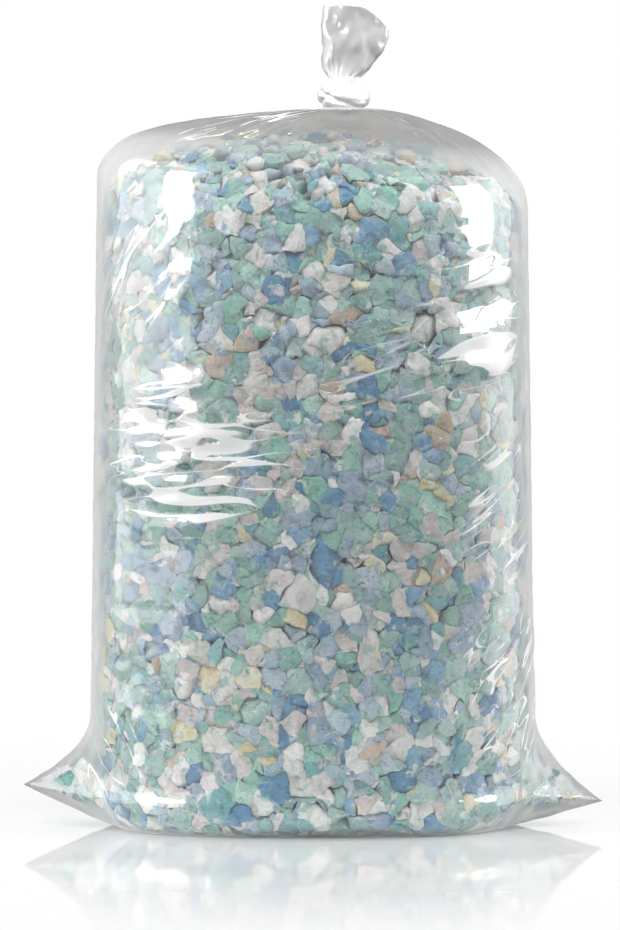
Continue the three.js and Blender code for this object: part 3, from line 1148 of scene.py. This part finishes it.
@dataclass
class BagFilm:
    """The film: one sheet from the base over the dome, through the knot to the mouth of the tail."""

    size: BagSize
    around: int = 240
    foot_rows: tuple[int, int, int] = (12, 8, 18)
    side_rows: int = 140
    dome_rows: int = 60
    tail_rows: tuple[int, int] = (14, 30)
    girth_radius: float = 164 * MM
    dome_bunching: float = 0.12
    ear_bunching: float = 0.1
    flat_height: float = 4 * MM
    tail_dent: float = 5 * MM
    tail_pleat: float = 2.5 * MM
    tail_lobe: float = 3 * MM
    dome_pleats: tuple[float, float] = (2.5 * MM, 7 * MM)
    dome_dent: float = 1.2 * MM
    foot_pucker: float = 1.4 * MM
    pucker_heights: tuple[float, float] = (40 * MM, 100 * MM)
    side_dent: float = 0.45 * MM
    side_crinkle: float = 0.2 * MM
    taut_heights: tuple[float, float] = (420 * MM, 490 * MM)
    bundles: tuple[tuple[float, float, float], ...] = (
        (205, 30, 0.85),
        (240, 16, 0.7),
        (320, 16, 0.45),
        (90, 60, 0.4),
    )

    def build(self) -> bpy.types.Object:
        """Lofts the film, wrinkles it and ties the knot.

        Returns:
            The film's object.
        """
        form = BagForm(self.size)
        levels = form.foot_levels(self.foot_rows) + form.side_levels(self.side_rows)
        levels += form.dome_levels(self.dome_rows) + form.tail_levels(self.tail_rows)
        film = wrapped_grid(levels, self.around, form)
        film.normal_update()
        row = film.verts.layers.float["row"]
        turn = film.verts.layers.float["turn"]
        bunched = film.verts.layers.float.new("bunched")
        creased = film.verts.layers.float.new("creased")
        crease = film.verts.layers.float_vector.new("crease")
        for vert in film.verts:
            level = levels[round(vert[row])]
            # The ears' bunching also gives them the film's dark grey of painted shade, as the dome's bunching
            # does.
            in_ear = self.ear_bunching * form.ear(vert[turn], level.height) ** 0.5
            vert[bunched] = max(self.bunching(level), in_ear)
            vert[crease], vert[creased] = self.crease(vert[turn], level, vert.co.z)
            vert.co += vert.normal * self.wrinkle(vert[turn], level, vert.co)
            if level.tail > 0:
                lobe = noise.noise(Vector((2 * math.cos(vert[turn]), math.sin(vert[turn]), 5)))
                vert.co.z += level.tail * self.tail_lobe * lobe
        carrier = bpy.data.meshes.new("carrier")
        knot = self.knot()
        knot.to_mesh(carrier)
        knot.free()
        film.from_mesh(carrier)
        bpy.data.meshes.remove(carrier)
        LOG.info("film: %d faces", len(film.faces))
        obj = object_from(film, "bag_film_sheet")
        obj.data.materials.append(FilmFinish().material())
        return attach(obj, "root")

    def bunching(self, level: Level) -> float:
        """How many layers of film lie on each other at a level.

        Args:
            level: The level.

        Returns:
            A share from 0, one layer, to 1, too many to see through.
        """
        if level.tail > 0:
            return mix(0.9, 0.4, smoothstep(level.tail, 0.0, 0.4))
        if level.neck > 0:
            return 1.0
        dome = self.dome_bunching * smoothstep(level.gathered, 0.02, 0.3)
        return max(dome, 0.9 * smoothstep(level.gathered, 0.8, 1.0))

    def crease(self, angle: float, level: Level, height: float) -> tuple[Vector, float]:
        """Where a point lies in the pattern of the creases and how strong they are there.

        Args:
            angle: Direction around the bag.
            level: The level.
            height: Height of the point.

        Returns:
            The place in the pattern and a share from 0 to 1.
        """
        ring = Vector((math.cos(angle), math.sin(angle), 0))
        if level.neck > 0:
            return ring * 4 + Vector((0, 0, 1.5 * level.tail)), 0.25 * (1 - level.tail)
        drawn = level.gathered
        if drawn > 0.1:
            return ring * 9 + Vector((0, 0, 2 * drawn)), self.bundle(angle) * smoothstep(drawn, 0.1, 0.5)
        around = math.remainder(angle + math.pi / 2, math.tau) * self.girth_radius
        zone = max(CREASE_ZONES, key=lambda zone: zone.share(around, height))
        return zone.run(around, height), zone.share(around, height)

    def bundle(self, angle: float) -> float:
        """How many pleats of the dome run in a direction from the knot.

        Each bundle of pleats has its middle and its half width in degrees, and its strength.

        Args:
            angle: Direction around the bag.

        Returns:
            A share from 0 to 1.
        """
        share = 0.02
        for middle, half, strength in self.bundles:
            off = math.degrees(math.remainder(angle - math.radians(middle), math.tau))
            share += strength * math.exp(-((off / half) ** 2))
        return min(1.0, share)

    def wrinkle(self, angle: float, level: Level, place: Vector) -> float:
        """How far the film stands off its smooth form.

        Args:
            angle: Direction around the bag.
            level: The level.
            place: The point on the smooth form.

        Returns:
            The offset along the normal.
        """
        if level.height < self.flat_height:
            return 0.0
        ring = Vector((math.cos(angle), math.sin(angle), 0))
        if level.tail > 0:
            dent = noise.noise(place / (21 * MM)) + 0.4 * noise.noise(place / (9 * MM))
            crease = abs(noise.noise(ring * 3 + Vector((0, 0, level.tail))))
            drawn_in = self.tail_pleat * (1 - level.tail) ** 3 * (1 - crease) ** 4
            return self.tail_dent * dent * min(1.0, 2 * level.tail) - drawn_in
        drawn = level.gathered
        offset = 0.0
        if drawn > 0:
            fold = abs(noise.noise(ring * 9 + Vector((0, 0, 2 * drawn))))
            deep = mix(*self.dome_pleats, self.bundle(angle))
            offset -= deep * drawn * (1 - 0.75 * drawn) * (1 - fold) ** 3
            dent = self.dome_dent * smoothstep(drawn, 0.0, 0.1) * (1 - drawn)
            offset += dent * noise.noise(place / (24 * MM))
        low = 1 - smoothstep(place.z, *self.pucker_heights)
        pucker = noise.noise(Vector((place.x, place.y, 0.4 * place.z)) / (12 * MM))
        offset += self.foot_pucker * low * pucker
        crinkle = self.side_dent * noise.noise(place / (13 * MM))
        crinkle += self.side_crinkle * noise.noise(place / (6 * MM))
        slack = (1 - drawn) * mix(1.0, 0.5, smoothstep(place.z, *self.taut_heights))
        offset += slack * crinkle
        around = math.remainder(angle + math.pi / 2, math.tau) * self.girth_radius
        for zone in CREASE_ZONES:
            share = zone.share(around, place.z)
            if share > 0:
                along, aside, seed = zone.run(around, place.z)
                offset += share * zone.rise * (0.5 + noise.noise(Vector((along, aside, seed))))
        return offset

    def knot(self) -> bmesh.types.BMesh:
        """The knot: film wrapped round the neck and drawn tight into a bulb.

        Returns:
            The bulb, with the folds of the film across it.
        """
        s = self.size
        bulb = bmesh.new()
        bunched = bulb.verts.layers.float.new("bunched")
        bmesh.ops.create_icosphere(bulb, subdivisions=5, radius=1.0)
        folds = ((Vector((0.35, -0.2, 0.9)), -0.1, 0.16), (Vector((-0.75, 0.3, 0.6)), 0.25, 0.12))
        for vert in bulb.verts:
            way = vert.co.normalized()
            groove = sum(math.exp(-(((way.dot(axis) - at) / wide) ** 2)) for axis, at, wide in folds)
            fine = (1 - abs(noise.noise(Vector((2 * way.x, 2 * way.y, 5 * way.z))))) ** 5
            vert.co = way * (1 - 0.11 * groove - 0.06 * fine)
            vert[bunched] = 1.0
        scale = Matrix.Diagonal((s.knot_half_width, s.knot_half_width, s.knot_half_height, 1))
        middle = (s.neck_offset, 0, s.neck_height + s.knot_height / 2 - s.knot_sink)
        place = Matrix.Translation(middle) @ Matrix.Rotation(s.knot_tilt, 4, "Y") @ scale
        bmesh.ops.transform(bulb, matrix=place, verts=bulb.verts)
        bmesh.ops.recalc_face_normals(bulb, faces=bulb.faces)
        return bulb


@dataclass(frozen=True)
class Lamp:
    """A soft lamp that faces the bag: its bearing from the front in degrees, distance, height and size."""

    name: str
    bearing: float
    reach: float
    height: float
    span: tuple[float, float]
    power: float
    aim: float = 0.3
    in_gloss: bool = True
    on_matt: bool = True


LAMPS = (
    Lamp("softbox_left", -59, 1.1, 0.8, (0.32, 0.6), 28.0, aim=0.8, on_matt=False),
    Lamp("softbox_right", 81, 1.1, 0.8, (0.5, 0.6), 28.0, aim=0.8, on_matt=False),
    Lamp("panel_left", -80, 1.2, 0.75, (1.5, 1.4), 37.0, aim=0.4, on_matt=False),
    Lamp("panel_right", 100, 1.2, 0.6, (0.7, 1.3), 12.0, aim=0.4, on_matt=False),
    Lamp("strip_left", -62, 1.3, 1.6, (1.7, 0.3), 5.5, on_matt=False),
    Lamp("strip_right", 50, 1.3, 1.6, (1.0, 0.3), 3.2, on_matt=False),
    Lamp("strip_back", -160, 1.0, 1.7, (0.4, 0.08), 1.0, on_matt=False),
    Lamp("fill_left", -65, 1.0, 1.3, (0.5, 0.6), 9.4, aim=0.65, in_gloss=False),
    Lamp("fill_right", 80, 1.0, 1.3, (0.5, 0.6), 8.4, aim=0.65, in_gloss=False),
    Lamp("fill_top", 5, 0.9, 1.25, (0.5, 0.5), 8.4, aim=0.6, in_gloss=False),
    Lamp("fill_back", 180, 1.1, 0.9, (0.8, 0.6), 7.0, aim=0.4, in_gloss=False),
)


@dataclass
class Studio:
    """White floor and background, softboxes and strips that show in the film, soft light and the camera."""

    distance: float = 6.0
    elevation: float = math.radians(3)
    frame_height: float = 0.779
    sensor: float = 36.0
    aim: tuple[float, float, float] = (-0.002, 0.0, 0.3023)
    ambient: float = 0.11
    floor_glow: float = 0.54
    floor_grey: float = 0.75
    floor_shine: float = 0.58
    floor_roughness: float = 0.045
    floor_fade: tuple[float, float] = (0.36, 0.85)

    def camera(self) -> None:
        """Makes the camera at the photograph's angle."""
        data = bpy.data.cameras.new("camera")
        data.sensor_fit = "VERTICAL"
        data.sensor_height = self.sensor
        data.lens = self.sensor * self.distance / self.frame_height
        camera = bpy.data.objects.new("camera", data)
        bpy.context.scene.collection.objects.link(camera)
        back = Vector((0, -math.cos(self.elevation), math.sin(self.elevation)))
        camera.location = Vector(self.aim) + back * self.distance
        camera.rotation_euler = (math.pi / 2 - self.elevation, 0, 0)
        bpy.context.scene.camera = camera

    def hang(self, lamp: Lamp) -> None:
        """Hangs a lamp.

        Args:
            lamp: The lamp.
        """
        light = bpy.data.lights.new(lamp.name, "AREA")
        light.shape = "RECTANGLE"
        light.size, light.size_y = lamp.span
        light.energy = lamp.power
        obj = bpy.data.objects.new(lamp.name, light)
        bpy.context.scene.collection.objects.link(obj)
        turn = math.radians(lamp.bearing)
        obj.location = (lamp.reach * math.sin(turn), -lamp.reach * math.cos(turn), lamp.height)
        towards = Vector((0, 0, lamp.aim)) - obj.location
        obj.rotation_euler = towards.to_track_quat("-Z", "Y").to_euler()
        obj.visible_glossy = lamp.in_gloss
        obj.visible_diffuse = lamp.on_matt

    def world(self) -> None:
        """Lights the scene from all round and shows white to the camera and in the gloss."""
        world = bpy.data.worlds.new("world")
        bpy.context.scene.world = world
        world.use_nodes = True
        nodes, links = world.node_tree.nodes, world.node_tree.links
        background = nodes["Background"]
        path = nodes.new("ShaderNodeLightPath")
        seen = path.outputs["Is Camera Ray"]
        for ray in ("Is Glossy Ray", "Is Transmission Ray"):
            either = nodes.new("ShaderNodeMath")
            either.operation = "MAXIMUM"
            links.new(seen, either.inputs[0])
            links.new(path.outputs[ray], either.inputs[1])
            seen = either.outputs["Value"]
        strength = nodes.new("ShaderNodeMapRange")
        strength.inputs["To Min"].default_value = self.ambient
        strength.inputs["To Max"].default_value = 1.0
        links.new(seen, strength.inputs["Value"])
        links.new(strength.outputs["Result"], background.inputs["Strength"])
        background.inputs["Color"].default_value = (1, 1, 1, 1)

    def floor(self) -> None:
        """Lays a white, slightly shiny floor that fades into the white background."""
        mesh = bmesh.new()
        bmesh.ops.create_grid(mesh, x_segments=1, y_segments=1, size=2)
        floor = object_from(mesh, "floor", smooth=False)
        material = bpy.data.materials.new("floor")
        tree = NodeTree(material)
        tree.nodes.remove(tree.nodes["Principled BSDF"])
        path = tree.nodes.new("ShaderNodeLightPath")
        matt = tree.add("ShaderNodeBsdfDiffuse", Color=(*[self.floor_grey] * 3, 1))
        seen = tree.math("MULTIPLY", path.outputs["Is Camera Ray"], self.floor_glow)
        glow = tree.add("ShaderNodeEmission", Color=(1, 1, 1, 1), Strength=seen)
        white = tree.add("ShaderNodeAddShader", i0=matt.outputs["BSDF"], i1=glow.outputs["Emission"])
        white = white.outputs["Shader"]
        shine = tree.add("ShaderNodeBsdfGlossy", Roughness=self.floor_roughness).outputs["BSDF"]
        wet = tree.ranged(path.outputs["Is Glossy Ray"], (0.0, 1.0), (self.floor_shine, 0.0))
        surface = tree.add("ShaderNodeMixShader", Fac=wet, i1=white, i2=shine).outputs["Shader"]
        reach = tree.add("ShaderNodeVectorMath", "LENGTH", i0=tree.place)
        fade = tree.ranged(reach.outputs["Value"], self.floor_fade, (0.0, 1.0))
        clear = tree.nodes.new("ShaderNodeBsdfTransparent").outputs["BSDF"]
        faded = tree.add("ShaderNodeMixShader", Fac=fade, i1=surface, i2=clear)
        tree.links.new(faded.outputs["Shader"], tree.nodes["Material Output"].inputs["Surface"])
        floor.data.materials.append(material)

    def build(self) -> None:
        """Makes the whole studio."""
        self.camera()
        for lamp in LAMPS:
            self.hang(lamp)
        self.world()
        self.floor()


LOOSE_COLOURS = ("white", "mint", "blue", "lilac", "cream", "tan", "aqua")


def main() -> None:
    """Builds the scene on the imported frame."""
    logging.basicConfig(level=logging.INFO)
    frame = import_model()
    size = BagSize()
    Studio().build()
    film = BagFilm(size).build()
    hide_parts("bag_film")
    names = sorted(name for name in frame["nodes"] if name.startswith("foam_crumb_"))
    loose = {colour: names[k :: len(LOOSE_COLOURS)] for k, colour in enumerate(LOOSE_COLOURS)}
    solids = {colour: [frame["nodes"][name] for name in held] for colour, held in loose.items()}
    for obj in FoamCrumb(frame["nodes"]["foam_fill"]).build(solids):
        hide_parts("foam_fill", *loose.get(obj.name.removeprefix("foam_"), []))
    bpy.context.scene.view_settings.view_transform = "Standard"


if __name__ == "__main__":
    main()
